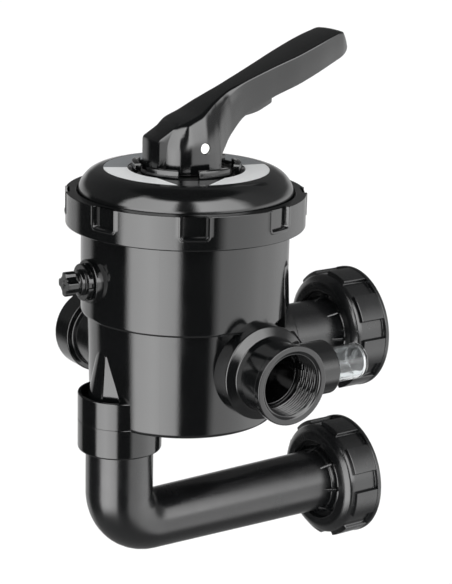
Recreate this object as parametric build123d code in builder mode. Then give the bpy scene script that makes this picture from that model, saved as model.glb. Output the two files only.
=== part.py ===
from build123d import *
from math import cos, sin, radians
import os

os.makedirs("parts", exist_ok=True)

# Multiport valve for a pool filter. Sizes in millimetres.
# The origin is the centre of the upper filter union's sealing face; +Y points out of both unions.
# +Z is up along the selector stem, +X is the side of the port that carries the sight glass.

# driving sizes
union_centres = 125.0
stem_y = -138.0
step_z = 38.5
upper_r = 76.2
lower_r = 71.5
base_z = -41.0
chamber_r = 72.0
rim_z = 117.0
seat_z = 42.0

leg_y = -192.2
leg_r = 25.0
pipe_r = 22.5
pipe_end_r = 24.3
wall = 3.4
bend_r = 27.5
collar_r = 30.9
collar_top = -18.6
collar_bottom = -61.5

port_reach = 115.5
port_rim_r = 29.0
port_tube_r = 27.0
port_bore_r = 20.0
thread_major_r = 23.9
thread_minor_r = 22.42
thread_pitch = 2.309
front_y = stem_y + 17.0
front_z = 7.3
left_y = stem_y - 14.0
left_z = -6.0
rear_y = stem_y + 44.0
rear_z = 0.0

glass_x = 96.0
glass_z = 9.3
glass_r = 13.0

ring_r = 87.4
ring_bottom = 102.0
ring_top = 126.3
ring_phase = 16.5

label_z = 142.3
hub_floor = 139.5
stem_r = 12.0
pin_y = stem_y + 1.0
pin_z = 160.0
pin_r = 4.0

plug_angle = -93.0
plug_z = 66.5

stem_axis = Axis((0, stem_y, 0), (0, 0, 1))
stem_side = Plane(origin=(0, stem_y, 0), x_dir=(1, 0, 0), z_dir=(0, -1, 0))
low_axis = Axis((0, 0, -union_centres), (0, 1, 0))
low_side = Plane(origin=(0, 0, -union_centres), x_dir=(1, 0, 0), z_dir=(0, 0, 1))


def level(z, y=stem_y, x=0.0):
    return Plane(origin=(x, y, z), x_dir=(1, 0, 0), z_dir=(0, 0, 1))


def facing_y(y, z=0.0, x=0.0):
    return Plane(origin=(x, y, z), x_dir=(1, 0, 0), z_dir=(0, 1, 0))


def facing_x(x, y, z):
    return Plane(origin=(x, y, z), x_dir=(0, 1, 0), z_dir=(1, 0, 0))


def wedge(inner, outer, start, end, steps=8):
    # corner points of an annular sector, angles in degrees
    angles = [start + (end - start) * i / steps for i in range(steps + 1)]
    outside = [(outer * cos(radians(a)), outer * sin(radians(a))) for a in angles]
    inside = [(inner * cos(radians(a)), inner * sin(radians(a))) for a in reversed(angles)]
    return outside + inside


plug_out = (cos(radians(plug_angle)), sin(radians(plug_angle)), 0)


def facing_plug(distance):
    return Plane(
        origin=(plug_out[0] * distance, stem_y + plug_out[1] * distance, plug_z),
        x_dir=(-plug_out[1], plug_out[0], 0),
        z_dir=plug_out,
    )


# valve body: one moulding with the port sockets, the union boss and the bottom collar
with BuildPart() as valve_body:
    with BuildSketch(stem_side):
        with BuildLine():
            Polyline(
                (0, base_z), (66.5, base_z), (68.6, base_z + 1.2), (69.6, base_z + 4),
                (lower_r, step_z - 1.5), (upper_r - 0.6, step_z - 1.5), (upper_r, step_z),
                (upper_r, rim_z), (0, rim_z), close=True,
            )
        make_face()
    revolve(axis=stem_axis)
    # bayonet lugs under the locking ring
    for i in range(8):
        start = ring_phase - 10 + 45 * i
        with BuildSketch(level(106.2)):
            Polygon(*wedge(upper_r - 2, 80.4, start, start + 20), align=None)
        extrude(amount=4)
    # neck and collar of the bottom connection
    with BuildSketch(level(collar_top - 6, leg_y)):
        Circle(23.6)
    with BuildSketch(level(step_z - 2, leg_y)):
        Circle(21.6)
    loft()
    with BuildSketch(level(collar_bottom, leg_y)):
        Circle(collar_r)
    extrude(amount=collar_top - collar_bottom)
    # flat gusset between the neck and the lower body
    with BuildSketch(level(collar_top)):
        Polygon((21.2, -67.4), (14.8, -78.6), (2, -70), (2, -60), align=None)
    with BuildSketch(level(14)):
        Polygon((10.4, -69.6), (9.6, -71.2), (2, -70), (2, -60), align=None)
    loft(ruled=True)
    # threaded port with the sight glass
    with BuildSketch(facing_x(40, front_y, front_z)):
        Circle(34.5)
    extrude(amount=43.5)
    with BuildSketch(facing_x(40, front_y, front_z)):
        Circle(port_tube_r)
    extrude(amount=port_reach - 40)
    with BuildSketch(facing_x(port_reach - 6, front_y, front_z)):
        Circle(port_rim_r)
    extrude(amount=6)
    with BuildSketch(facing_y(front_y + 10, glass_z, glass_x)):
        Circle(19.4)
    extrude(amount=32)
    # left port and the port behind it
    for side_y, side_z in ((left_y, left_z), (rear_y, rear_z)):
        with BuildSketch(facing_x(-port_reach, side_y, side_z)):
            Circle(port_tube_r)
        extrude(amount=port_reach - 40)
        with BuildSketch(facing_x(-port_reach, side_y, side_z)):
            Circle(31.5)
        extrude(amount=20)
    # boss of the upper filter connection
    with BuildSketch(facing_y(stem_y + 40)):
        Circle(33)
    extrude(amount=43.7)
    # flat web between the front port and the union boss
    with BuildSketch(level(10)):
        with BuildLine():
            Polyline((30, 20), (98, 38), (96, 50), (30, 80), (10, 60), close=True)
        make_face()
    extrude(amount=5)
    # tapered rib over the union boss
    with BuildSketch(level(step_z - 8)):
        Polygon(*wedge(60, upper_r + 2.2, 38, 50), align=None)
    with BuildSketch(level(86)):
        Polygon(*wedge(60, upper_r - 0.5, 38, 50), align=None)
    loft()
    # boss of the bleed plug
    with BuildSketch(facing_plug(66)):
        Circle(16)
    extrude(amount=14)
    # rotor chamber
    with BuildSketch(level(seat_z)):
        Circle(chamber_r)
    extrude(amount=rim_z - seat_z, mode=Mode.SUBTRACT)
    # six water chambers under the seat
    for i in range(6):
        with BuildSketch(level(base_z + 4.5)):
            Polygon(*wedge(14, 65.5, -7.5 + 60 * i, 47.5 + 60 * i), align=None)
        extrude(amount=seat_z - base_z, mode=Mode.SUBTRACT)
    # water ways of the five connections
    with BuildSketch(level(collar_bottom, leg_y)):
        Circle(leg_r + 0.1)
    extrude(amount=36, mode=Mode.SUBTRACT)
    with BuildSketch(level(collar_bottom, leg_y)):
        Circle(17.5)
    extrude(amount=70, mode=Mode.SUBTRACT)
    with BuildSketch(facing_x(58, front_y, front_z)):
        Circle(port_bore_r)
    extrude(amount=port_reach, mode=Mode.SUBTRACT)
    for side_y, side_z, reach in ((left_y, left_z, 58), (rear_y, rear_z, 44)):
        with BuildSketch(facing_x(-reach, side_y, side_z)):
            Circle(port_bore_r)
        extrude(amount=-port_reach, mode=Mode.SUBTRACT)
    with BuildSketch(facing_y(stem_y + 58)):
        Circle(port_bore_r)
    extrude(amount=60, mode=Mode.SUBTRACT)
    with BuildSketch(facing_y(stem_y + 70)):
        Circle(leg_r + 0.1)
    extrude(amount=40, mode=Mode.SUBTRACT)
    # female threads of the three ports, one ring groove per pitch
    for mouth_x, mouth_y, mouth_z, inward in (
        (port_reach, front_y, front_z, -1),
        (-port_reach, left_y, left_z, 1),
        (-port_reach, rear_y, rear_z, 1),
    ):
        with BuildSketch(facing_x(mouth_x, mouth_y, mouth_z)):
            Circle(thread_minor_r)
        extrude(amount=inward * 25, mode=Mode.SUBTRACT)
        port_side = Plane(origin=(mouth_x, mouth_y, mouth_z), x_dir=(inward, 0, 0), z_dir=(0, 0, inward))
        with BuildSketch(port_side):
            with BuildLine():
                Polyline((0, 21), (0, 24.6), (1.4, 23.2), (1.4, 21), close=True)
            make_face()
            for i in range(9):
                middle = 2.2 + thread_pitch * i
                with BuildLine():
                    Polyline(
                        (middle - 0.9, 22.2), (middle, thread_major_r), (middle + 0.9, 22.2), close=True
                    )
                make_face()
        revolve(axis=Axis((mouth_x, mouth_y, mouth_z), (1, 0, 0)), mode=Mode.SUBTRACT)
    # seat of the sight glass, open to the port
    with BuildSketch(facing_y(front_y + 15, glass_z, glass_x)):
        Circle(9)
    extrude(amount=40, mode=Mode.SUBTRACT)
    with BuildSketch(facing_y(front_y + 30, glass_z, glass_x)):
        Circle(11.1)
    extrude(amount=20, mode=Mode.SUBTRACT)
    with BuildSketch(facing_y(front_y + 39.5, glass_z, glass_x)):
        Circle(16)
    extrude(amount=6, mode=Mode.SUBTRACT)
    # open groove around the neck, inside the collar
    with BuildSketch(level(collar_top - 10, leg_y)):
        with BuildLine():
            Polyline(*wedge(24.4, 28.6, 190, 350, 16), close=True)
        make_face()
    extrude(amount=12, mode=Mode.SUBTRACT)
    # tapped hole of the bleed plug
    with BuildSketch(facing_plug(60)):
        Circle(6.6)
    extrude(amount=30, mode=Mode.SUBTRACT)
    with BuildSketch(facing_plug(76)):
        Circle(11)
    extrude(amount=10, mode=Mode.SUBTRACT)
valve_body.part.label = "valve_body"
export_step(valve_body.part, "parts/valve_body.step")

# spoked gasket lying on the walls of the water chambers
with BuildPart() as spider_gasket:
    with BuildSketch(level(seat_z)):
        Circle(71.0)
        for i in range(6):
            Polygon(*wedge(15, 64.5, -7 + 60 * i, 47 + 60 * i), align=None, mode=Mode.SUBTRACT)
        Circle(6, mode=Mode.SUBTRACT)
    extrude(amount=2.6)
spider_gasket.part.label = "spider_gasket"
export_step(spider_gasket.part, "parts/spider_gasket.step")

# rotor: diverter disc with one through window, one blind pocket and the stem
rotor_bottom = seat_z + 2.7
with BuildPart() as rotor:
    with BuildSketch(stem_side):
        with BuildLine():
            Polyline(
                (0, rotor_bottom), (68, rotor_bottom), (70, rotor_bottom + 2), (70, 53), (66, 57),
                (30, 66), (26, 75.3), (16, 75.3), (stem_r, 77), (stem_r, 165.5), (10.5, 167), (0, 167),
                close=True,
            )
        make_face()
    revolve(axis=stem_axis)
    with BuildSketch(level(rotor_bottom - 1)):
        Polygon(*wedge(17, 62, 232, 286), align=None)
    extrude(amount=30, mode=Mode.SUBTRACT)
    with BuildSketch(level(rotor_bottom - 1)):
        Polygon(*wedge(17, 62, -8, 107, 14), align=None)
    extrude(amount=8, mode=Mode.SUBTRACT)
    with BuildSketch(facing_x(-20, pin_y, pin_z)):
        Circle(pin_r + 0.03)
    extrude(amount=40, mode=Mode.SUBTRACT)
rotor.part.label = "rotor"
export_step(rotor.part, "parts/rotor.step")

# compression spring around the stem
with BuildPart() as rotor_spring:
    with BuildLine() as coil:
        Helix(pitch=9.2, height=38.6, radius=22, center=(0, stem_y, 77.8))
    with BuildSketch(Plane(origin=coil.line @ 0, z_dir=coil.line % 0)):
        Circle(2.3)
    sweep()
rotor_spring.part.label = "rotor_spring"
export_step(rotor_spring.part, "parts/rotor_spring.step")

# washer between the spring and the lid
with BuildPart() as spring_washer:
    with BuildSketch(level(118.9)):
        Circle(27)
        Circle(12.4, mode=Mode.SUBTRACT)
    extrude(amount=1.6)
spring_washer.part.label = "spring_washer"
export_step(spring_washer.part, "parts/spring_washer.step")

# lid with its domed shoulder, spring seat and stem guide
with BuildPart() as lid:
    with BuildSketch(stem_side):
        with BuildLine():
            Polyline(
                (12.08, 120.6), (12.08, 142.5), (14, 142.5), (14, hub_floor), (40.5, hub_floor),
                (42, label_z - 0.1), (42.3, label_z - 0.4), (60.3, label_z - 0.4), (60.6, label_z + 0.1),
            )
            Spline((60.6, label_z + 0.1), (68, 140.4), (74.2, 136.2), (77.6, 130.6), (78.5, 126))
            Polyline(
                (78.5, 126), (78.5, 122.5), (83.2, 122.5), (83.2, rim_z + 0.2), (71.7, rim_z + 0.2),
                (71.7, 104.5), (66.5, 104.5), (66.5, 120), (73.5, 127), (70, 134), (60, 137.5),
                (44, 137.5), (38, 134.5), (19, 134.5), (19, 120.6), (12.08, 120.6),
            )
        make_face()
    revolve(axis=stem_axis)
    # index blocks around the hub
    for i in range(6):
        with BuildSketch(level(hub_floor - 1)):
            Polygon(*wedge(35, 39.5, -19 + 60 * i, 19 + 60 * i), align=None)
        extrude(amount=9)
    # grooves of the stem rings and of the lid ring
    for groove_z in (123.5, 132.0):
        with BuildSketch(level(groove_z)):
            Circle(15.5)
            Circle(11, mode=Mode.SUBTRACT)
        extrude(amount=3.7, mode=Mode.SUBTRACT)
    with BuildSketch(level(108)):
        Circle(73)
        Circle(68.1, mode=Mode.SUBTRACT)
    extrude(amount=4.6, mode=Mode.SUBTRACT)
lid.part.label = "lid"
export_step(lid.part, "parts/lid.step")

# the two stem rings and the lid ring
for name, ring_z, ring_middle, ring_section in (
    ("stem_ring_lower", 125.35, 13.78, 1.72),
    ("stem_ring_upper", 133.85, 13.78, 1.72),
    ("lid_ring", 110.3, 70.05, 1.95),
):
    with BuildPart() as o_ring:
        with BuildSketch(stem_side):
            with Locations((ring_middle, ring_z)):
                Circle(ring_section)
        revolve(axis=stem_axis)
    o_ring.part.label = name
    export_step(o_ring.part, "parts/" + name + ".step")

# locking ring with bayonet lugs inside and eight grip pockets outside
with BuildPart() as locking_ring:
    with BuildSketch(stem_side):
        with BuildLine():
            Polyline(
                (83.8, ring_bottom), (86.6, ring_bottom), (ring_r, ring_bottom + 1), (ring_r, ring_top - 1),
                (86.6, ring_top), (79.6, ring_top), (79.6, 122.8), (83.8, 122.8), close=True,
            )
        make_face()
    revolve(axis=stem_axis)
    for i in range(8):
        middle = ring_phase + 45 * i
        with BuildSketch(level(ring_bottom + 0.3)):
            Polygon(*wedge(77, 85, middle - 9.5, middle + 9.5), align=None)
        extrude(amount=3.5)
        # U shaped rim of a grip pocket
        with BuildSketch(level(ring_top - 17.5)):
            Polygon(*wedge(86, 88.0, middle - 7.3, middle + 7.3), align=None)
        extrude(amount=17.5)
        with BuildSketch(level(ring_top - 15.2)):
            Polygon(*wedge(84.7, 90, middle - 5.7, middle + 5.7), align=None)
        extrude(amount=16, mode=Mode.SUBTRACT)
locking_ring.part.label = "locking_ring"
export_step(locking_ring.part, "parts/locking_ring.step")

# printed position plate, open in a V at the window of the hub
with BuildPart() as position_plate:
    with BuildSketch(level(label_z - 0.35)):
        outer_corners = wedge(0, 60, -17.2, 321.8, 60)[:61]
        inner_corners = wedge(0, 42.7, 6.7, 298.1, 60)[:61]
        Polygon(*outer_corners, *reversed(inner_corners), align=None)
    extrude(amount=0.4)
position_plate.part.label = "position_plate"
export_step(position_plate.part, "parts/position_plate.step")

# wear washer under the handle
with BuildPart() as wear_washer:
    with BuildSketch(level(hub_floor + 0.05)):
        Circle(33)
        Circle(19.3, mode=Mode.SUBTRACT)
    extrude(amount=1.0)
wear_washer.part.label = "wear_washer"
export_step(wear_washer.part, "parts/wear_washer.step")

# handle: cheeks over the stem, a waist and a wide grip
cheek_foot = hub_floor + 1.6


def handle_section(top, top_z, side, side_z, foot, foot_z):
    # half widths and heights of the crease, the side and the lower edge
    right_half = [(top, -top_z), (side, -side_z), (foot, -foot_z)]
    return right_half + [(-across, height) for across, height in reversed(right_half)]


base_sections = {
    -26: handle_section(4, 169, 8, 158, 9, cheek_foot),
    -23: handle_section(7.6, 171.5, 14, 161, 15.4, cheek_foot),
    -17: handle_section(13, 175.2, 20, 163, 21, cheek_foot),
    -8: handle_section(17.5, 179.4, 23.2, 165, 24.2, cheek_foot),
    2: handle_section(17.2, 183.4, 23.4, 166, 24.6, cheek_foot),
    9: handle_section(15.4, 187.6, 21.8, 168, 24.4, cheek_foot),
    15: handle_section(13.4, 191.2, 19.2, 171, 23.6, cheek_foot),
}
grip_sections = {
    15: handle_section(13.4, 191.2, 19.2, 171, 22.6, 150),
    22: handle_section(11.6, 195, 15.2, 178, 17.7, 158.5),
    30: handle_section(10.2, 199, 12.2, 184, 13.6, 166.8),
    42: handle_section(10.6, 204, 11.6, 192, 11.8, 178),
    66: handle_section(13.4, 213.8, 14.2, 202, 13.6, 190.6),
    88: handle_section(16.8, 222.6, 17.5, 211, 16.4, 199.6),
    103: handle_section(17.4, 228.8, 18, 218, 16.9, 206.4),
    118: handle_section(16, 234.8, 16.6, 224, 15.4, 213.2),
    124: handle_section(15, 236.6, 15.6, 227, 14.4, 216),
    129: handle_section(12.6, 235.6, 13.4, 226.5, 12.4, 218.4),
    132.6: handle_section(10.2, 231.8, 11, 225.5, 10.2, 220),
    135.4: handle_section(7.4, 226.6, 7.8, 224.5, 7.4, 221.6),
}

with BuildPart() as handle:
    # domed base over the stem, then neck and grip
    for sections in (base_sections, grip_sections):
        for along, corners in sections.items():
            with BuildSketch(facing_y(stem_y + along)):
                Polygon(*corners, align=None)
        loft(ruled=True)
    # heel pad
    with BuildSketch(Plane(origin=(-11.6, stem_y, 0), x_dir=(0, 1, 0), z_dir=(1, 0, 0))):
        with BuildLine():
            Polyline(
                (-31, cheek_foot + 1), (-31, 167), (-20.5, 172.8), (-13, 178.4), (-6, 178), (-6, cheek_foot + 1),
                close=True,
            )
        make_face()
    extrude(amount=23.2)
    # room for the stem between the cheeks
    with BuildSketch(level(130, stem_y + 1)):
        RectangleRounded(29, 37, 4)
    extrude(amount=42, mode=Mode.SUBTRACT)
    # hollow underside of the grip
    with BuildSketch(Plane(origin=(-8.5, stem_y, 0), x_dir=(0, 1, 0), z_dir=(1, 0, 0))):
        with BuildLine():
            Polyline((44, 165), (44, 197), (114, 226), (114, 190), close=True)
        make_face()
    extrude(amount=17, mode=Mode.SUBTRACT)
    # cross ribs of the hollow and the thumb rib
    for rib_y in (58, 76, 94):
        with BuildSketch(level(164 + rib_y * 0.42, stem_y + rib_y)):
            Rectangle(18, 2)
        extrude(amount=18)
    with BuildSketch(Plane(origin=(-7.5, stem_y, 0), x_dir=(0, 1, 0), z_dir=(1, 0, 0))):
        with BuildLine():
            Polyline(
                (36, 178), (41, 177.2), (50, 178.4), (57.5, 180.2), (68.7, 185.6), (69, 190.5), (60, 200),
                close=True,
            )
        make_face()
    extrude(amount=15)
    with BuildSketch(facing_x(-40, pin_y, pin_z)):
        Circle(pin_r + 0.05)
    extrude(amount=80, mode=Mode.SUBTRACT)
handle.part.label = "handle"
export_step(handle.part, "parts/handle.step")

# hinge pin of the handle
with BuildPart() as hinge_pin:
    with BuildSketch(facing_x(-22.6, pin_y, pin_z)):
        Circle(pin_r)
    extrude(amount=45.2)
hinge_pin.part.label = "hinge_pin"
export_step(hinge_pin.part, "parts/hinge_pin.step")

# bleed plug with a stepped collar and a four lobed knob
with BuildPart() as bleed_plug:
    with BuildSketch(facing_plug(73)):
        Circle(6.4)
    extrude(amount=7.4)
    with BuildSketch(facing_plug(80.4)):
        Circle(13.5)
        with PolarLocations(13.5, 8):
            Rectangle(3.2, 3.2, mode=Mode.SUBTRACT)
    extrude(amount=4.2)
    with BuildSketch(facing_plug(84.6)):
        Circle(9.5)
    extrude(amount=3)
    with BuildSketch(facing_plug(87.6)):
        Circle(6.8)
    extrude(amount=4)
    with BuildSketch(facing_plug(90)):
        Circle(5.8)
        with PolarLocations(5.2, 4):
            Circle(3.6)
    extrude(amount=8)
bleed_plug.part.label = "bleed_plug"
export_step(bleed_plug.part, "parts/bleed_plug.step")

plug_side = Plane(origin=(0, stem_y, plug_z), x_dir=plug_out, z_dir=(0, 0, 1))
with BuildPart() as bleed_plug_ring:
    with BuildSketch(plug_side):
        with Locations((78.2, 8.6)):
            Circle(2.0)
    revolve(axis=Axis((0, stem_y, plug_z), plug_out))
bleed_plug_ring.part.label = "bleed_plug_ring"
export_step(bleed_plug_ring.part, "parts/bleed_plug_ring.step")

# sight glass: clear cup with a domed end and a seating collar
glass_side = Plane(origin=(glass_x, stem_y, glass_z), x_dir=(1, 0, 0), z_dir=(0, 0, 1))
with BuildPart() as sight_glass:
    with BuildSketch(glass_side):
        with BuildLine():
            Polyline(
                (8.6, 48), (11, 48), (11, 56.8), (13, 59.2), (glass_r, 86.4), (12.2, 89), (10, 90.4), (0, 91),
                (0, 88.4), (9, 87.8), (10.6, 85.4), (10.6, 60), (8.6, 57), close=True,
            )
        make_face()
    revolve(axis=Axis((glass_x, stem_y, glass_z), (0, 1, 0)))
sight_glass.part.label = "sight_glass"
export_step(sight_glass.part, "parts/sight_glass.step")

with BuildPart() as sight_glass_ring:
    with BuildSketch(glass_side):
        with Locations((13.6, 58.1)):
            Circle(1.0)
    revolve(axis=Axis((glass_x, stem_y, glass_z), (0, 1, 0)))
sight_glass_ring.part.label = "sight_glass_ring"
export_step(sight_glass_ring.part, "parts/sight_glass_ring.step")

# upper union tail, glued into the boss of the body
with BuildPart() as union_tail:
    with BuildSketch(Plane.XY):
        with BuildLine():
            Polyline(
                (21.5, -67.5), (leg_r, -67.5), (leg_r, -10), (26.5, -6), (39, -6), (39, 0), (38, 0), (38, -2.2),
                (34, -2.2), (34, 0), (21.5, 0), close=True,
            )
        make_face()
    revolve(axis=Axis.Y)
    for angle in range(0, 360, 45):
        with BuildSketch(Plane(origin=(0, 0, 0), x_dir=(cos(radians(angle)), 0, sin(radians(angle))), z_dir=(
            -sin(radians(angle)), 0, cos(radians(angle))
        ))):
            with BuildLine():
                Polyline((24, -20), (29.5, -6), (24, -5), close=True)
            make_face()
        extrude(amount=1.2, both=True)
union_tail.part.label = "union_tail"
export_step(union_tail.part, "parts/union_tail.step")

# bottom connection: leg, tight bend and drafted pipe in one moulding, ending in a union flange
bend_z = -union_centres + bend_r
bend_y = leg_y + bend_r
with BuildPart() as elbow_pipe:
    with BuildSketch(level(bend_z, leg_y)):
        Circle(leg_r)
    extrude(amount=-27.5 - bend_z)
    for i in range(7):
        turn = radians(15 * i)
        section_r = leg_r - (leg_r - pipe_r) * i / 6
        with BuildSketch(Plane(
            origin=(0, bend_y - bend_r * cos(turn), bend_z - bend_r * sin(turn)),
            x_dir=(1, 0, 0),
            z_dir=(0, sin(turn), -cos(turn)),
        )):
            Circle(section_r)
    loft()
    with BuildSketch(facing_y(bend_y, -union_centres)):
        Circle(pipe_r)
    with BuildSketch(facing_y(-6, -union_centres)):
        Circle(pipe_end_r)
    loft()
    with BuildSketch(low_side):
        with BuildLine():
            Polyline((20, -12), (pipe_end_r, -12), (26.5, -6), (39, -6), (39, 0), (20, 0), close=True)
        make_face()
    revolve(axis=low_axis)
    for angle in range(0, 360, 45):
        with BuildSketch(Plane(
            origin=(0, 0, -union_centres),
            x_dir=(cos(radians(angle)), 0, sin(radians(angle))),
            z_dir=(-sin(radians(angle)), 0, cos(radians(angle))),
        )):
            with BuildLine():
                Polyline((23, -20), (29.5, -6), (23, -5), close=True)
            make_face()
        extrude(amount=1.2, both=True)
    with BuildSketch(low_side):
        with BuildLine():
            Polyline((34, -2.2), (38, -2.2), (38, 1), (34, 1), close=True)
        make_face()
    revolve(axis=low_axis, mode=Mode.SUBTRACT)
    with BuildSketch(level(bend_z, leg_y)):
        Circle(leg_r - wall)
    extrude(amount=-bend_z, mode=Mode.SUBTRACT)
    for i in range(7):
        turn = radians(15 * i)
        section_r = leg_r - (leg_r - pipe_r) * i / 6 - wall
        with BuildSketch(Plane(
            origin=(0, bend_y - bend_r * cos(turn), bend_z - bend_r * sin(turn)),
            x_dir=(1, 0, 0),
            z_dir=(0, sin(turn), -cos(turn)),
        )):
            Circle(section_r)
    loft(mode=Mode.SUBTRACT)
    with BuildSketch(facing_y(bend_y, -union_centres)):
        Circle(pipe_r - wall)
    with BuildSketch(facing_y(0, -union_centres)):
        Circle(pipe_end_r - wall)
    loft(mode=Mode.SUBTRACT)
elbow_pipe.part.label = "elbow_pipe"
export_step(elbow_pipe.part, "parts/elbow_pipe.step")

# union nuts with eight raised lugs, and the flange rings they squeeze
for name, ring_name, nut_z in (
    ("union_nut_upper", "union_ring_upper", 0.0),
    ("union_nut_lower", "union_ring_lower", -union_centres),
):
    nut_side = Plane(origin=(0, 0, nut_z), x_dir=(1, 0, 0), z_dir=(0, 0, 1))
    nut_axis = Axis((0, 0, nut_z), (0, 1, 0))
    with BuildPart() as union_nut:
        with BuildSketch(nut_side):
            with BuildLine():
                Polyline(
                    (31.6, -10.4), (38, -10.4), (41.5, -9.4), (43.8, -7), (44.2, -4), (44.2, 17), (47.5, 17),
                    (47.5, 20.6), (42.2, 20.6), (42.2, 2), (39.6, 0.6), (39.6, -6.4), (31.6, -6.4), close=True,
                )
            make_face()
        revolve(axis=nut_axis)
        for i in range(8):
            middle = 45 * i + 10
            with BuildSketch(facing_y(-3.5, nut_z)):
                Polygon(*wedge(43, 47.2, middle - 13, middle + 13), align=None)
            extrude(amount=21)
        with BuildSketch(nut_side):
            for i in range(7):
                middle = 4.4 + thread_pitch * i
                with BuildLine():
                    Polyline((42, middle - 0.9), (43.3, middle), (42, middle + 0.9), close=True)
                make_face()
        revolve(axis=nut_axis, mode=Mode.SUBTRACT)
    union_nut.part.label = name
    export_step(union_nut.part, "parts/" + name + ".step")

    with BuildPart() as flange_ring:
        with BuildSketch(nut_side):
            with Locations((36, -0.4)):
                Circle(1.75)
        revolve(axis=nut_axis)
    flange_ring.part.label = ring_name
    export_step(flange_ring.part, "parts/" + ring_name + ".step")
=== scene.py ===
import math
import bmesh
import bpy
import numpy as np
from mathutils import Matrix


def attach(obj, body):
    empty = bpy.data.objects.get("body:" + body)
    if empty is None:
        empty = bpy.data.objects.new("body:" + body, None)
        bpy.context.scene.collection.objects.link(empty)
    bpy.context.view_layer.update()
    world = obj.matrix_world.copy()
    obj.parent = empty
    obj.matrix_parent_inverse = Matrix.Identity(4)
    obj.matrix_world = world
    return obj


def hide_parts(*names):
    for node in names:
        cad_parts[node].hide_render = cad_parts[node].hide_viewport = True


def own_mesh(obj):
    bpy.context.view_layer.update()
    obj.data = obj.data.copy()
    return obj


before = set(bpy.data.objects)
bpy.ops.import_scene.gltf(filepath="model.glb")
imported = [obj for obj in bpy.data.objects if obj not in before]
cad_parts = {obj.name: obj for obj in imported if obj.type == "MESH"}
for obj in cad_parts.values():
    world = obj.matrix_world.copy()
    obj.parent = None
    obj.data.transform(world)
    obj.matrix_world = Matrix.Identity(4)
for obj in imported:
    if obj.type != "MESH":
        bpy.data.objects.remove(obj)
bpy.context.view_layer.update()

# shapes are worked out in millimetres and put into the meshes in metres
layout = {"stemY": -138.0, "legY": -192.2, "unionDrop": 125.0, "plugAngle": -93.0, "plugZ": 66.5}
print("stage: frame loaded")


def spotOf(origin, axis, side):
    # a place to build on: its origin, and the rows side, axis x side, axis
    axis = np.array(axis, float)
    side = np.array(side, float)
    return np.array(origin, float), np.array([side, np.cross(axis, side), axis])


stemSpot = spotOf((0, layout["stemY"], 0), (0, 0, 1), (1, 0, 0))
legSpot = spotOf((0, layout["legY"], 0), (0, 0, 1), (1, 0, 0))
upperUnion = spotOf((0, 0, 0), (0, 1, 0), (1, 0, 0))
lowerUnion = spotOf((0, 0, -layout["unionDrop"]), (0, 1, 0), (1, 0, 0))
plugTurn = math.radians(layout["plugAngle"])
plugSpot = spotOf((0, layout["stemY"], layout["plugZ"]), (math.cos(plugTurn), math.sin(plugTurn), 0),
                  (-math.sin(plugTurn), math.cos(plugTurn), 0))


def placed(local, spot):
    # local points along the three rows of a spot, moved to its origin
    return local @ spot[1] + spot[0]


def smoothStep(value, low, high):
    # 0 below low, 1 above high, 3t^2 - 2t^3 between
    t = np.clip((value - low) / (high - low), 0, 1)
    return t * t * (3 - 2 * t)


def band(value, low, high, ramp):
    # 1 between low and high, falling to 0 over the ramp outside them
    return smoothStep(value, low - ramp, low) * (1 - smoothStep(value, high, high + ramp))


def rounded(corners, cuts, closed=True, steps=5, support=0.3):
    # each corner p becomes the parabola (1-t)^2 a + 2t(1-t) p + t^2 b between the points a and b,
    # which lie one cut before and after it
    corners = np.asarray(corners, float)
    cuts = np.broadcast_to(np.asarray(cuts, float), corners.shape[:-1])[..., None]
    before = np.roll(corners, 1, axis=-2) - corners
    after = np.roll(corners, -1, axis=-2) - corners
    longBefore = np.maximum(np.linalg.norm(before, axis=-1, keepdims=True), 1e-9)
    longAfter = np.maximum(np.linalg.norm(after, axis=-1, keepdims=True), 1e-9)
    before, after = before / longBefore, after / longAfter
    start = corners + before * np.minimum(cuts, longBefore * 0.42)
    end = corners + after * np.minimum(cuts, longAfter * 0.42)
    t = np.linspace(0, 1, steps)[:, None]
    arc = ((1 - t) ** 2 * start[..., None, :] + 2 * t * (1 - t) * corners[..., None, :]
           + t * t * end[..., None, :])
    first = (start + before * np.minimum(support, longBefore * 0.06))[..., None, :]
    last = (end + after * np.minimum(support, longAfter * 0.06))[..., None, :]
    path = np.concatenate([first, arc, last], axis=-2)
    path = path.reshape(corners.shape[:-2] + (-1, corners.shape[-1]))
    if closed:
        return path
    ends = steps + 2
    return np.concatenate([corners[..., :1, :], path[..., ends:-ends, :], corners[..., -1:, :]], axis=-2)


def denser(path, step):
    # the same line with points no further apart than step
    length = np.concatenate([[0], np.cumsum(np.linalg.norm(np.diff(path, axis=0), axis=1))])
    more = np.arange(0, length[-1], step)
    at = np.unique(np.round(np.concatenate([length, more]), 4))
    keep = np.concatenate([[True], np.diff(at) > 0.01])
    return np.stack([np.interp(at[keep], length, path[:, k]) for k in range(path.shape[1])], -1)


def ringAngles(count, edges=(), spread=0.8):
    # evenly spaced angles in degrees, with more of them around each edge
    extra = (np.asarray(edges, float)[:, None] + np.linspace(-spread, spread, 7)).ravel() if len(edges) else []
    angles = np.concatenate([np.arange(count) * 360.0 / count, np.asarray(extra) % 360])
    return np.unique(np.round(angles, 3))


def turned(path, spot, angles=None, bulge=None, lift=None):
    # a profile (radius r, height h) carried round: (r cos a, r sin a, h);
    # bulge changes r and lift changes h, each as a function of angle, height and radius
    turn = np.radians(ringAngles(128) if angles is None else angles)
    radius = path[:, :1] + 0 * turn
    height = path[:, 1:2] + 0 * turn
    if bulge is not None:
        radius = radius + bulge(np.degrees(turn)[None, :], height, radius)
    if lift is not None:
        height = height + lift(np.degrees(turn)[None, :], height, radius)
    return placed(np.stack([radius * np.cos(turn), radius * np.sin(turn), height], -1), spot)


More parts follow.
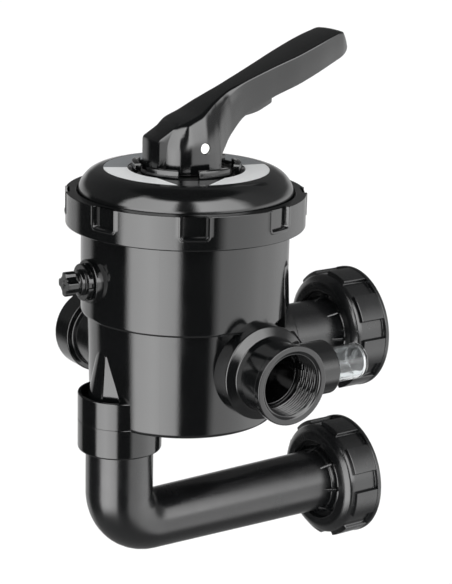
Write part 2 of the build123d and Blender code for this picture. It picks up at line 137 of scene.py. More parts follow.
def outlineNormals(outline):
    # unit normals of a closed outline, a quarter turn from its tangent
    tangent = np.roll(outline, -1, axis=0) - np.roll(outline, 1, axis=0)
    normal = np.stack([tangent[:, 1], -tangent[:, 0]], -1)
    normal /= np.maximum(np.linalg.norm(normal, axis=1, keepdims=True), 1e-9)
    middle = outline.mean(axis=0)
    return normal * np.sign(((outline - middle) * normal).sum())


def slab(lowOutline, highOutline, low, high, spot, edge=0.6):
    # a plate from one outline up to another, both ends closed at their middles, its rims eased by edge
    levels, rings = [], []
    for outline, height, inward in ((lowOutline, low, edge), (lowOutline, low + edge * 0.3, edge * 0.3),
                                    (lowOutline, low + edge, 0), (highOutline, high - edge, 0),
                                    (highOutline, high - edge * 0.3, edge * 0.3), (highOutline, high, edge)):
        rings.append(outline - outlineNormals(outline) * inward)
        levels.append(height)
    rings = [rings[0] * 0 + rings[0].mean(axis=0)] + rings + [rings[-1] * 0 + rings[-1].mean(axis=0)]
    levels = [levels[0]] + levels + [levels[-1]]
    points = np.stack([np.concatenate([ring, ring[:, :1] * 0 + level], axis=1)
                       for ring, level in zip(rings, levels)])
    return placed(points, spot)


def sector(inner, outer, start, end, count=14):
    # an annular sector as a closed outline, angles in degrees
    turn = np.radians(np.linspace(start, end, count))
    rim = np.stack([np.cos(turn), np.sin(turn)], -1)
    return np.concatenate([rim * outer, rim[::-1] * inner])


def gridFaces(rows, columns, wrapRows):
    # quads between neighbouring rows and columns; columns always close on themselves
    rowIndex = np.arange(rows if wrapRows else rows - 1)
    a, b = np.meshgrid(rowIndex, np.arange(columns), indexing="ij")
    nextA, nextB = (a + 1) % rows, (b + 1) % columns
    return np.stack([a * columns + b, nextA * columns + b, nextA * columns + nextB, a * columns + nextB],
                    -1).reshape(-1, 4)


def makePiece(name, grids, material, sharp=38):
    # grids of points (rows, columns, 3) in millimetres become one mesh;
    # a grid marked closed joins its last row to its first
    points, faces, count = [], [], 0
    for grid, closed in grids:
        rows, columns = grid.shape[:2]
        points.append(grid.reshape(-1, 3) / 1000)
        faces.append(gridFaces(rows, columns, closed) + count)
        count += rows * columns
    mesh = bpy.data.meshes.new(name)
    mesh.from_pydata(np.concatenate(points).tolist(), [], np.concatenate(faces).tolist())
    work = bmesh.new()
    work.from_mesh(mesh)
    bmesh.ops.remove_doubles(work, verts=work.verts, dist=2e-6)
    bmesh.ops.recalc_face_normals(work, faces=work.faces)
    work.to_mesh(mesh)
    work.free()
    mesh.shade_smooth()
    mesh.set_sharp_from_angle(angle=math.radians(sharp))
    piece = bpy.data.objects.new(name, mesh)
    bpy.context.scene.collection.objects.link(piece)
    mesh.materials.append(material)
    return piece


def cutAway(piece, grids, sharp=38):
    # takes a closed shape out of a piece and keeps the result as its mesh
    tool = makePiece("cutter", grids, piece.data.materials[0])
    cut = piece.modifiers.new("cut", "BOOLEAN")
    cut.object = tool
    cut.solver = "EXACT"
    result = bpy.data.meshes.new_from_object(piece.evaluated_get(bpy.context.evaluated_depsgraph_get()))
    piece.modifiers.clear()
    piece.data = result
    result.shade_smooth()
    result.set_sharp_from_angle(angle=math.radians(sharp))
    bpy.data.objects.remove(tool)


def settle(piece, node, body):
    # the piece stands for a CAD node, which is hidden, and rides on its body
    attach(piece, body)
    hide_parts(node)


def srgbToLinear(hexColour):
    # sRGB curve undone per channel: c/12.92 below 0.04045, else ((c + 0.055)/1.055)^2.4
    values = [int(hexColour[i:i + 2], 16) / 255 for i in (1, 3, 5)]
    return [v / 12.92 if v <= 0.04045 else ((v + 0.055) / 1.055) ** 2.4 for v in values] + [1.0]


def addNode(tree, kind, settings=None, values=None, links=None):
    # one node: settings are its properties, values its socket defaults, links (socket, other node, output)
    node = tree.nodes.new(kind)
    for key, value in (settings or {}).items():
        setattr(node, key, value)
    for key, value in (values or {}).items():
        node.inputs[key].default_value = value
    for socket, other, output in links or []:
        tree.links.new(other.outputs[output], node.inputs[socket])
    return node


def perMetre(size):
    # a noise scale whose features are about this many millimetres across
    return 1000 / size


def moulded(name, look):
    # plastic or rubber from a mould: slow colour drift, uneven gloss, and a fine skin that breaks up reflections;
    # the bump's distance is in metres, as are all coordinates here
    material = bpy.data.materials.new(name)
    material.use_nodes = True
    tree = material.node_tree
    shader = tree.nodes["Principled BSDF"]
    shader.inputs["IOR"].default_value = look["ior"]
    coords = addNode(tree, "ShaderNodeTexCoord")
    drift = addNode(tree, "ShaderNodeTexNoise", values={"Scale": perMetre(look["driftSize"]), "Detail": 3.0},
                    links=[("Vector", coords, "Object")])
    colour = addNode(tree, "ShaderNodeMix", {"data_type": "RGBA"},
                     {6: srgbToLinear(look["dark"]), 7: srgbToLinear(look["light"])}, [(0, drift, "Fac")])
    haze = addNode(tree, "ShaderNodeTexNoise", values={"Scale": perMetre(look["hazeSize"]), "Detail": 4.0},
                   links=[("Vector", coords, "Object")])
    gloss = addNode(tree, "ShaderNodeMapRange", values={"From Min": 0.3, "From Max": 0.7,
                                                        "To Min": look["smooth"], "To Max": look["rough"]},
                    links=[("Value", haze, "Fac")])
    skin = addNode(tree, "ShaderNodeTexNoise", values={"Scale": perMetre(look["skinSize"]), "Detail": 2.0},
                   links=[("Vector", coords, "Object")])
    relief = addNode(tree, "ShaderNodeBump", values={"Strength": look["skinDepth"], "Distance": 0.0002},
                     links=[("Height", skin, "Fac")])
    tree.links.new(colour.outputs[2], shader.inputs["Base Color"])
    tree.links.new(gloss.outputs["Result"], shader.inputs["Roughness"])
    tree.links.new(relief.outputs["Normal"], shader.inputs["Normal"])
    return material


def metalTurned(name, hexColour, roughness, grooveSize):
    # bright steel with fine tool marks: the marks only change roughness and relief
    material = bpy.data.materials.new(name)
    material.use_nodes = True
    tree = material.node_tree
    shader = tree.nodes["Principled BSDF"]
    shader.inputs["Metallic"].default_value = 1.0
    coords = addNode(tree, "ShaderNodeTexCoord")
    marks = addNode(tree, "ShaderNodeTexNoise", values={"Scale": perMetre(grooveSize), "Detail": 5.0},
                    links=[("Vector", coords, "Object")])
    tone = addNode(tree, "ShaderNodeMix", {"data_type": "RGBA"},
                   {6: srgbToLinear(hexColour), 7: srgbToLinear("#f0f0ee")}, [(0, marks, "Fac")])
    gloss = addNode(tree, "ShaderNodeMapRange", values={"To Min": roughness * 0.7, "To Max": roughness * 1.4},
                    links=[("Value", marks, "Fac")])
    relief = addNode(tree, "ShaderNodeBump", values={"Strength": 0.2, "Distance": 0.00005},
                     links=[("Height", marks, "Fac")])
    tree.links.new(tone.outputs[2], shader.inputs["Base Color"])
    tree.links.new(gloss.outputs["Result"], shader.inputs["Roughness"])
    tree.links.new(relief.outputs["Normal"], shader.inputs["Normal"])
    return material


# polished injection moulded ABS: a deep black mirror, a little hazy, with a faint orange peel
absMoulded = moulded("absMouldedBlack", {"dark": "#0b0c0c", "light": "#121314", "ior": 1.54, "driftSize": 60,
                                         "hazeSize": 25, "smooth": 0.08, "rough": 0.15, "skinSize": 1.6,
                                         "skinDepth": 0.06})
# PVC pipe and fittings: the same black with a satin skin, so reflections are broad and soft
pvcMoulded = moulded("pvcMouldedSatin", {"dark": "#101112", "light": "#191a1b", "ior": 1.56, "driftSize": 45,
                                         "hazeSize": 18, "smooth": 0.18, "rough": 0.28, "skinSize": 1.0,
                                         "skinDepth": 0.12})
# nitrile rubber rings: dull black with a bloom
nitrileRubber = moulded("nitrileMoulded", {"dark": "#0e0e0f", "light": "#1d1d1e", "ior": 1.52, "driftSize": 6,
                                           "hazeSize": 4, "smooth": 0.5, "rough": 0.72, "skinSize": 0.5,
                                           "skinDepth": 0.3})
# acetal washer, turned from rod: waxy black
acetalTurned = moulded("acetalTurnedBlack", {"dark": "#141414", "light": "#1e1e1e", "ior": 1.48,
                                             "driftSize": 20, "hazeSize": 8, "smooth": 0.3, "rough": 0.42,
                                             "skinSize": 0.4, "skinDepth": 0.1})
# stainless steel off the lathe: bright, with fine tool marks; then drawn spring wire, duller
stainlessTurned = metalTurned("stainlessTurned", "#cfcfcc", 0.22, 0.8)
springDrawn = metalTurned("springWireDrawn", "#9a9ca0", 0.3, 1.5)


def clearMoulded(name):
    # polycarbonate cup: clear, with faint flow marks in its wall
    material = bpy.data.materials.new(name)
    material.use_nodes = True
    tree = material.node_tree
    shader = tree.nodes["Principled BSDF"]
    shader.inputs["IOR"].default_value = 1.45
    shader.inputs["Transmission Weight"].default_value = 1.0
    shader.inputs["Base Color"].default_value = srgbToLinear("#f4f7f8")
    coords = addNode(tree, "ShaderNodeTexCoord")
    flow = addNode(tree, "ShaderNodeTexNoise", values={"Scale": perMetre(9), "Detail": 3.0, "Distortion": 1.5},
                   links=[("Vector", coords, "Object")])
    gloss = addNode(tree, "ShaderNodeMapRange", values={"To Min": 0.02, "To Max": 0.14},
                    links=[("Value", flow, "Fac")])
    relief = addNode(tree, "ShaderNodeBump", values={"Strength": 0.25, "Distance": 0.0004},
                     links=[("Height", flow, "Fac")])
    tree.links.new(gloss.outputs["Result"], shader.inputs["Roughness"])
    tree.links.new(relief.outputs["Normal"], shader.inputs["Normal"])
    return material


def printedPlate(name, look):
    # silver grey print under varnish: light sectors on both sides of the notch, darker ones behind
    material = bpy.data.materials.new(name)
    material.use_nodes = True
    tree = material.node_tree
    shader = tree.nodes["Principled BSDF"]
    shader.inputs["IOR"].default_value = 1.5
    shader.inputs["Roughness"].default_value = look["roughness"]
    coords = addNode(tree, "ShaderNodeTexCoord")
    centred = addNode(tree, "ShaderNodeMapping", values={"Location": (0, -layout["stemY"] / 1000, 0)},
                      links=[("Vector", coords, "Object")])
    parts = addNode(tree, "ShaderNodeSeparateXYZ", links=[("Vector", centred, "Vector")])
    angle = addNode(tree, "ShaderNodeMath", {"operation": "ARCTAN2"}, links=[(0, parts, "Y"), (1, parts, "X")])
    lightSide = None
    for low, high in look["lightSectors"]:
        above = addNode(tree, "ShaderNodeMath", {"operation": "GREATER_THAN"}, {1: math.radians(low)},
                        [(0, angle, "Value")])
        below = addNode(tree, "ShaderNodeMath", {"operation": "LESS_THAN"}, {1: math.radians(high)},
                        [(0, angle, "Value")])
        both = addNode(tree, "ShaderNodeMath", {"operation": "MULTIPLY"},
                       links=[(0, above, "Value"), (1, below, "Value")])
        if lightSide is None:
            lightSide = both
        else:
            lightSide = addNode(tree, "ShaderNodeMath", {"operation": "ADD"},
                                links=[(0, lightSide, "Value"), (1, both, "Value")])
    speck = addNode(tree, "ShaderNodeTexNoise", values={"Scale": perMetre(0.7), "Detail": 2.0},
                    links=[("Vector", coords, "Object")])
    dark = addNode(tree, "ShaderNodeMix", {"data_type": "RGBA"},
                   {6: srgbToLinear(look["darkA"]), 7: srgbToLinear(look["darkB"])}, [(0, speck, "Fac")])
    light = addNode(tree, "ShaderNodeMix", {"data_type": "RGBA"},
                    {6: srgbToLinear(look["lightA"]), 7: srgbToLinear(look["lightB"])}, [(0, speck, "Fac")])
    colour = addNode(tree, "ShaderNodeMix", {"data_type": "RGBA"},
                     links=[(0, lightSide, "Value"), (6, dark, 2), (7, light, 2)])
    tree.links.new(colour.outputs[2], shader.inputs["Base Color"])
    return material


polycarbonate = clearMoulded("polycarbonateMoulded")
print("stage: materials made")

# valve body: trunk, neck, collar, ports and bosses as closed shells that run into each other
bodyShape = {"stepZ": 38.5, "upperR": 76.2, "lowerR": 71.5, "baseZ": -41.0, "rimZ": 117.0, "seatZ": 42.0,
             "chamberR": 72.0, "partingAngle": -46.0, "partingHeight": 0.07,
             "collarR": 30.9, "collarTop": -18.6, "collarBottom": -61.5,
             "portReach": 115.5, "threadPitch": 2.309, "threadMinor": 22.42, "threadMajor": 23.9,
             "waterway": 60.0,
             "frontPort": (-121.0, 7.3), "leftPort": (-152.0, -6.0), "rearPort": (-94.0, 0.0),
             "glassX": 96.0, "glassZ": 9.3, "saddleR": 25.4}


def partingLine(angle, height, radius):
    # a hair of flash where the two mould halves met: a narrow bell over the angle, only on outer walls
    away = (angle - bodyShape["partingAngle"] + 90) % 180 - 90
    return bodyShape["partingHeight"] * np.exp(-(away / 0.16) ** 2) * (radius > 66)


def threadWave(angle, height, radius):
    # a helix: the wall moves out by a rounded wave of height / pitch - angle / 360, faded at both ends
    turnsAlong = height / bodyShape["threadPitch"] - angle / 360
    wave = 0.5 - 0.5 * np.cos(2 * math.pi * turnsAlong)
    depth = bodyShape["threadMajor"] - bodyShape["threadMinor"]
    onWall = np.abs(radius - bodyShape["threadMinor"] - 0.01) < 0.005
    return depth * wave * onWall * band(height, bodyShape["portReach"] - 21, bodyShape["portReach"] - 2.6, 1.0)


def ontoPort(angle, height, radius):
    # the boss starts inside the port's wall: height = port axis + sqrt(saddle radius^2 - drop^2),
    # where drop is how far the point lies above or below that axis
    drop = bodyShape["glassZ"] - radius * np.sin(np.radians(angle)) - bodyShape["frontPort"][1]
    reach = np.sqrt(np.maximum(bodyShape["saddleR"] ** 2 - drop ** 2, 1))
    wall = bodyShape["frontPort"][0] - layout["stemY"] + reach
    return np.maximum(wall - height, 0)


def portPath(outer, inside):
    # a port's profile from its blind root over the outer wall, rim, threaded mouth and water way to the axis
    reach = bodyShape["portReach"]
    threadRows = np.arange(reach - 1.6, reach - 24.2, -0.22)
    thread = np.stack([threadRows * 0 + bodyShape["threadMinor"] + 0.01, threadRows], -1)
    outside = rounded(outer + [(24.7, reach), (23.2, reach - 1.5)], [0] + [0.9] * len(outer) + [0.2],
                      closed=False)
    innerEnd = rounded([(22.43, reach - 24.3), (20, reach - 24.8), (20, inside), (0, inside)], 0.4,
                       closed=False)
    return np.concatenate([outside, thread, innerEnd])


def bodyGrids():
    s = bodyShape
    grids = []
    partingAngles = ringAngles(160, [s["partingAngle"], s["partingAngle"] + 180], 0.5)
    trunk = rounded([(0, s["baseZ"]), (69.2, s["baseZ"]), (s["lowerR"], s["stepZ"] - 1.6),
                     (s["upperR"] - 0.5, s["stepZ"] - 1.6), (s["upperR"], s["stepZ"]), (s["upperR"], s["rimZ"]),
                     (s["chamberR"], s["rimZ"]), (s["chamberR"], s["seatZ"]), (0, s["seatZ"])],
                    [0, 3.2, 0.25, 0.4, 0.5, 0.8, 0.5, 0.5, 0], closed=False)
    grids.append((turned(trunk, stemSpot, partingAngles, partingLine), False))
    for k in range(8):
        lug = sector(s["upperR"] - 2, 80.2, 6.5 + 45 * k, 26.5 + 45 * k)
        grids.append((slab(lug, lug, 106.2, 110.2, stemSpot), False))
    neck = rounded([(0, -26.9), (23.8, -26.9), (23.2, s["collarTop"] - 2), (15.2, 21), (0, 21)], 0.3,
                   closed=False)
    grids.append((turned(neck, legSpot), False))
    collar = rounded([(25.1, s["collarBottom"]), (s["collarR"], s["collarBottom"]), (s["collarR"], -39.2),
                      (s["collarR"] - 0.25, -38.9), (s["collarR"], -38.6), (s["collarR"], s["collarTop"]),
                      (28.5, s["collarTop"]), (28.3, -26.6), (25.1, -26.8)],
                     [0.8, 1.6, 0.1, 0.1, 0.1, 0.9, 0.5, 0.4, 0.2])
    grids.append((turned(collar, legSpot), True))
    gussetFoot = rounded([(24.2, -66.4), (12.4, -76.2), (2, -70), (2, -60)], 0.3)
    gussetTip = rounded([(8.4, -70.2), (7.6, -71.0), (2, -70), (2, -60)], 0.1)
    grids.append((slab(gussetFoot, gussetTip, s["collarTop"] - 6, 12, stemSpot, 0.2), False))
    y, z = s["frontPort"]
    frontSpot = spotOf((0, y, z), (1, 0, 0), (0, 1, 0))
    front = portPath([(0, 40), (34.5, 40), (34.5, 83.2), (27.4, 86.2), (27, 109.6), (29, 110),
                      (29, s["portReach"])], s["waterway"])
    grids.append((turned(front, frontSpot, bulge=threadWave), False))
    for y, z in (s["leftPort"], s["rearPort"]):
        sideSpot = spotOf((0, y, z), (-1, 0, 0), (0, 1, 0))
        side = portPath([(0, 40), (27, 40), (27, 95.6), (31.5, 95.8), (31.5, s["portReach"])], s["waterway"])
        grids.append((turned(side, sideSpot, ringAngles(80), threadWave), False))
    boss = rounded([(0, -98), (33, -98), (33, -54.4), (25.3, -54.4), (25.3, -67), (0, -67)],
                   [0, 0.3, 0.8, 0.5, 0.3, 0], closed=False)
    grids.append((turned(boss, upperUnion), False))
    glassSpot = spotOf((s["glassX"], layout["stemY"], s["glassZ"]), (0, 1, 0), (1, 0, 0))
    glassBoss = rounded([(0, 27), (19.4, 27), (19.4, 59), (16, 59), (16, 56.5), (11.2, 56.5), (11.2, 47),
                         (0, 47)], [0, 0.2, 0.8, 0.4, 0.2, 0.3, 0.3, 0], closed=False)
    grids.append((turned(denser(glassBoss, 2.0), glassSpot, ringAngles(96), lift=ontoPort), False))
    plugBoss = rounded([(0, 62), (16.2, 62), (16, 80), (11, 80), (11, 76), (6.7, 76), (6.7, 72.5), (0, 72.5)],
                       [0, 0.4, 0.7, 0.5, 0.3, 0.3, 0.3, 0], closed=False)
    grids.append((turned(plugBoss, plugSpot, ringAngles(96)), False))
    web = rounded([(30, 20), (98, 38), (96, 50), (30, 80), (10, 60)], 1.0)
    grids.append((slab(web, web, 10, 15, stemSpot), False))
    ribFoot = rounded(sector(60, s["upperR"] + 2.2, 38, 50, 8), 0.2, steps=3)
    ribTip = rounded(sector(60, s["upperR"] - 0.5, 38, 50, 8), 0.2, steps=3)
    grids.append((slab(ribFoot, ribTip, s["stepZ"] - 8, 86, stemSpot, 0.3), False))
    return grids


body = makePiece("valveBodyShell", bodyGrids(), absMoulded)
settle(body, "valve_body", "housing")
print("stage: valve body made")

# lid: dome, hub tube and index blocks
lidShape = {"labelZ": 142.3, "hubFloor": 139.5, "stemHole": 12.08, "tubeR": 14.0, "tubeTop": 142.5,
            "blockInner": 35.0, "blockOuter": 39.5, "blockTop": 147.5, "blockHalf": 19.0}


def lidGrids():
    s = lidShape
    under = [(78.5, 122.5), (83.2, 122.5), (83.2, 117.2), (71.7, 117.2), (71.7, 104.5), (66.5, 104.5),
             (66.5, 120), (73.5, 127), (70, 134), (60, 137.5), (44, 137.5), (38, 134.5), (19, 134.5),
             (19, 120.6), (s["stemHole"], 120.6)]
    hub = [(s["stemHole"], s["tubeTop"]), (s["tubeR"], s["tubeTop"]), (s["tubeR"], s["hubFloor"]),
           (40.5, s["hubFloor"]), (42.1, s["labelZ"] - 0.1), (42.5, s["labelZ"] - 0.4),
           (60.1, s["labelZ"] - 0.4), (60.4, s["labelZ"] + 0.1)]
    dome = [(66.2, 141.5), (71.6, 138.6), (75.9, 133.6), (78.2, 128.6)]
    cuts = [0.3] * 3 + [0.4, 0.5, 0.15, 0.15, 0.4] + [3.2] * 4 + [0.5] * len(under)
    grids = [(turned(rounded(hub + dome + under, cuts, steps=7), stemSpot, ringAngles(160)), True)]
    for k in range(6):
        outline = sector(s["blockInner"], s["blockOuter"], 60 * k - s["blockHalf"], 60 * k + s["blockHalf"])
        block = rounded(outline, 0.25, steps=2)
        grids.append((slab(block, block, s["hubFloor"] - 1, s["blockTop"], stemSpot, 0.5), False))
    return grids


lid = makePiece("lidShell", lidGrids(), absMoulded)
settle(lid, "lid", "housing")

# printed position plate around the hub, open in a V at the window
plateShape = {"inner": 42.7, "outer": 60.0, "top": 142.36, "thick": 0.4, "notchOuter": (-17.2, 321.8),
              "notchInner": (6.7, 298.1)}
plateInk = printedPlate("printedSilverPlate", {"lightSectors": ((-119, -20), (-18, 76)), "lightA": "#dcdedf",
                                               "lightB": "#eceded", "darkA": "#6f7275", "darkB": "#85888b",
                                               "roughness": 0.3})


def plateGrids():
    s = plateShape
    low, high = s["top"] - s["thick"], s["top"]
    turns = np.linspace(0, 1, 120)
    start = np.radians(s["notchOuter"][0] + turns * (s["notchOuter"][1] - s["notchOuter"][0]))
    begin = np.radians(s["notchInner"][0] + turns * (s["notchInner"][1] - s["notchInner"][0]))
    outerRim = np.stack([np.cos(start), np.sin(start)], -1) * s["outer"]
    innerRim = np.stack([np.cos(begin), np.sin(begin)], -1) * s["inner"]
    ringOf = [np.concatenate([rim, rim[:, :1] * 0 + z], axis=1) for rim, z in
              ((innerRim, low), (outerRim, low), (outerRim, high), (innerRim, high))]
    strip = np.stack(ringOf, axis=1)
    middleStart = strip[:1] * 0 + strip[:1].mean(axis=1, keepdims=True)
    middleEnd = strip[-1:] * 0 + strip[-1:].mean(axis=1, keepdims=True)
    return [(placed(np.concatenate([middleStart, strip, middleEnd]), stemSpot), False)]


plate = makePiece("positionPlatePrint", plateGrids(), plateInk, 30)
settle(plate, "position_plate", "housing")
print("stage: lid made")

# locking ring: rim, bayonet lugs and eight U shaped grip pockets
ringShape = {"outer": 87.4, "wallInner": 83.8, "bottom": 102.0, "top": 126.3, "lipInner": 79.6, "lipZ": 122.8,
             "phase": 16.5, "pocketHalf": 10.0, "pocketFoot": 110.3, "pocketDepth": 2.7, "ribHalf": 0.75,
             "ribHeight": 0.55, "cornerR": 2.6}


def pocketRelief(angle, height, radius):
    # distance to a U with straight sides and rounded lower corners:
    # the rib stands on that line and the pocket sinks inside it
    s = ringShape
    across = np.radians((angle - s["phase"] + 22.5) % 45 - 22.5) * s["outer"]
    halfHeight = 30.0
    up = height - (s["pocketFoot"] + halfHeight)
    qx = np.abs(across) - s["pocketHalf"] + s["cornerR"]
    qy = np.abs(up) - halfHeight + s["cornerR"]
    outside = np.hypot(np.maximum(qx, 0), np.maximum(qy, 0))
    distance = outside + np.minimum(np.maximum(qx, qy), 0) - s["cornerR"]
    rib = s["ribHeight"] * (1 - smoothStep(np.abs(distance), s["ribHalf"], s["ribHalf"] + 0.45))
    pocket = s["pocketDepth"] * smoothStep(-distance, s["ribHalf"] + 0.3, s["ribHalf"] + 0.9)
    onWall = smoothStep(radius, s["outer"] - 1.4, s["outer"] - 0.5)
    return (rib - pocket) * onWall


def lockingRingGrids():
    s = ringShape
    path = rounded([(s["wallInner"], s["bottom"]), (s["outer"], s["bottom"]), (s["outer"], s["top"]),
                    (s["lipInner"], s["top"]), (s["lipInner"], s["lipZ"]), (s["wallInner"], s["lipZ"])],
                   [0.5, 1.2, 0.5, 0.7, 0.4, 0.4])
    closedPath = np.concatenate([path, path[:1]])
    edges = np.concatenate([s["phase"] + 45 * k + np.array([-6.6, 6.6]) for k in range(8)])
    corners = np.concatenate([s["phase"] + 45 * k + np.array([-5.4, 5.4]) for k in range(8)])
    angles = np.unique(np.concatenate([ringAngles(240, edges, 0.9), ringAngles(240, corners, 0.9)]))
    grids = [(turned(denser(closedPath, 0.55)[:-1], stemSpot, angles, pocketRelief), True)]
    for k in range(8):
        lug = sector(77.2, 85, s["phase"] + 45 * k - 9.5, s["phase"] + 45 * k + 9.5)
        grids.append((slab(lug, lug, s["bottom"] + 0.4, s["bottom"] + 3.8, stemSpot, 0.4), False))
    return grids


lockingRing = makePiece("lockingRingShell", lockingRingGrids(), absMoulded)
settle(lockingRing, "locking_ring", "ring")
print("stage: locking ring made")

# handle: one lofted shell with a creased top, flared cheeks, a heel pad and a thumb rib
handleShape = {
    "pinY": -137.0, "pinZ": 160.0, "pinHole": 4.05, "cheekFoot": 141.1, "heelHalf": 11.5,
    # distance from the stem, then half width and height of the top crease, of the side and of the lower edge
    "sections": ((-26, 4, 168.5, 8, 158, 9, 141.1), (-23, 7.6, 171.2, 14, 161, 15.4, 141.1),
                 (-17, 13, 174.8, 20, 163, 21, 141.1), (-8, 17.4, 179, 23.2, 165, 24.2, 141.1),
                 (2, 17.2, 183, 23.3, 166, 24.6, 141.1), (9, 15.3, 187.2, 21.7, 168, 24.3, 141.1),
                 (14.8, 13.4, 190.7, 19.1, 171, 23.4, 141.1), (15.4, 13.2, 191, 18.9, 171.4, 22.4, 150),
                 (22, 11.5, 194.5, 15.1, 178, 17.5, 158.5), (30, 10, 198.4, 12.1, 184, 13.4, 166.8),
                 (42, 10.5, 203.3, 11.5, 192, 11.7, 178), (66, 13.3, 213.1, 14.1, 202, 13.5, 190.6),
                 (88, 16.7, 221.8, 17.4, 211, 16.3, 199.6), (103, 17.3, 228, 17.9, 218, 16.8, 206.4),
                 (118, 16.4, 233.6, 17, 224, 15.8, 213.2), (125.5, 15.6, 235.6, 16.4, 226.5, 15.2, 216.6),
                 (126.3, 15.3, 235.1, 16.2, 226.4, 15, 217), (129, 13.8, 231.8, 15, 225.4, 13.8, 218.4),
                 (132.6, 10.8, 227.5, 12.2, 223.6, 11, 220), (135.2, 7.4, 224.4, 7.9, 223, 7.4, 221.4)),
}


def monotone(knots, values, at):
    # a cubic through each knot whose slope is the harmonic mean of its neighbours', or flat at a turn
    gap = np.diff(knots)[:, None]
    slope = np.diff(values, axis=0) / gap
    product = slope[:-1] * slope[1:]
    middle = np.where(product > 0, 2 * product / np.where(product > 0, slope[:-1] + slope[1:], 1), 0)
    tangent = np.concatenate([slope[:1], middle, slope[-1:]])
    k = np.clip(np.searchsorted(knots, at) - 1, 0, len(knots) - 2)
    t = ((at - knots[k]) / gap[k, 0])[:, None]
    return ((2 * t ** 3 - 3 * t ** 2 + 1) * values[k] + (t ** 3 - 2 * t ** 2 + t) * gap[k] * tangent[k]
            + (3 * t ** 2 - 2 * t ** 3) * values[k + 1] + (t ** 3 - t ** 2) * gap[k] * tangent[k + 1])


def handleGrids():
    s = handleShape
    table = np.array(s["sections"])
    at = np.unique(np.concatenate([np.arange(-26, 135.2, 1.0), table[:, 0], [15.0, 15.2, 125.9, 134.6]]))
    w = monotone(table[:, 0], table[:, 1:], at)
    zero = w[:, 0] * 0
    crown = 0.05 * w[:, 0]
    half = [(w[:, 0] * 0.5, w[:, 1] + crown * 0.8), (w[:, 0], w[:, 1]), (w[:, 2], w[:, 3]), (w[:, 4], w[:, 5])]
    corners = [(zero, w[:, 1] + crown)] + half + [(zero, w[:, 5])] + [(-x, z) for x, z in half[::-1]]
    loop = np.stack([np.stack(corner, -1) for corner in corners], axis=1)
    crease = 1.1 + 8.5 * (1 - smoothStep(at, 4, 44)) * smoothStep(at, -27, -12)
    cuts = np.stack([zero + 2, zero + 3, crease, zero + 14, zero + 1.6, zero + 2, zero + 1.6, zero + 14, crease,
                     zero + 3], -1)
    ring = rounded(loop, cuts, steps=7)
    grid = np.concatenate([ring[..., :1], ring[..., :1] * 0 + at[:, None, None], ring[..., 1:]], axis=-1)
    first, last = grid[:1], grid[-1:]
    easedEnd = last * 0.86 + last.mean(axis=1, keepdims=True) * 0.14 + np.array([0, 0.25, 0])
    grid = np.concatenate([first * 0 + first.mean(axis=1, keepdims=True), grid, easedEnd,
                           easedEnd * 0 + easedEnd.mean(axis=1, keepdims=True)])
    origin = np.array([0, layout["stemY"], 0])
    sideSpot = spotOf((0, layout["stemY"], 0), (1, 0, 0), (0, 1, 0))
    heel = rounded([(-31, s["cheekFoot"] + 1.2), (-31, 166.6), (-20.5, 172.6), (-13, 177.8), (-6, 176),
                    (-6, s["cheekFoot"] + 1.2)], [0.8, 2.4, 2.0, 2.0, 0.5, 0.5], steps=6)
    thumb = rounded([(36, 178), (41, 177.3), (50, 178.5), (57.5, 180.3), (68.6, 185.7), (68.9, 190.4),
                     (60, 199)], [0.6, 2.0, 3.0, 3.0, 1.2, 0.8, 0.5], steps=6)
    return [(grid + origin, False)], [(slab(heel, heel, -s["heelHalf"], s["heelHalf"], sideSpot, 1.0), False),
                                      (slab(thumb, thumb, -7.5, 7.5, sideSpot, 0.8), False)]


def cutterGrids():
    s = handleShape
    cavity = rounded([(-14.5, -17.5), (14.5, -17.5), (14.5, 19.5), (-14.5, 19.5)], 4.0)
    sideSpot = spotOf((0, s["pinY"], s["pinZ"]), (1, 0, 0), (0, 1, 0))
    hole = rounded([(0, -40), (s["pinHole"], -40), (s["pinHole"], 40), (0, 40)], 0, closed=False, steps=2)
    return ([(slab(cavity, cavity, 130, 172, stemSpot, 0.2), False)],
            [(turned(hole, sideSpot, ringAngles(48)), False)])


handleShell, handleExtras = handleGrids()
cavityTool, pinTool = cutterGrids()
handle = makePiece("handleShell", handleShell, absMoulded, 50)
cutAway(handle, cavityTool, 50)
cutAway(handle, pinTool, 50)
settle(handle, "handle", "lever")
heelPad = makePiece("handleHeelAndThumbRib", handleExtras, absMoulded, 40)
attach(heelPad, "lever")

# hinge pin with eased ends
pinShape = {"radius": 4.0, "half": 22.5, "chamfer": 0.5}
pinSpot = spotOf((0, handleShape["pinY"], handleShape["pinZ"]), (1, 0, 0), (0, 1, 0))
pinPath = rounded([(0, -pinShape["half"]), (pinShape["radius"], -pinShape["half"]),
                   (pinShape["radius"], pinShape["half"]), (0, pinShape["half"])],
                  [0, pinShape["chamfer"], pinShape["chamfer"], 0], closed=False)
hingePin = makePiece("hingePinTurned", [(turned(pinPath, pinSpot, ringAngles(64)), False)], stainlessTurned)
settle(hingePin, "hinge_pin", "rotor_group")
print("stage: handle made")

# bleed plug: notched collar, steps and a four lobed knob
plugShape = {"collarR": 13.4, "notchHalf": 6.8, "notchDepth": 1.5, "lobeDip": 2.4}


def plugRelief(angle, height, radius):
    # eight notches cut into the collar, four lobes on the knob as a rounded cosine of four times the angle
    s = plugShape
    notch = band((angle + 22.5) % 45 - 22.5, -s["notchHalf"], s["notchHalf"], 1.2)
    onCollar = band(height, 80.9, 84.2, 0.25) * (radius > 11)
    lobes = 0.5 - 0.5 * np.cos(np.radians(4 * angle))
    onKnob = band(height, 90.2, 99, 0.6) * (radius > 3)
    return -s["notchDepth"] * notch * onCollar - s["lobeDip"] * smoothStep(lobes, 0.15, 0.85) * onKnob


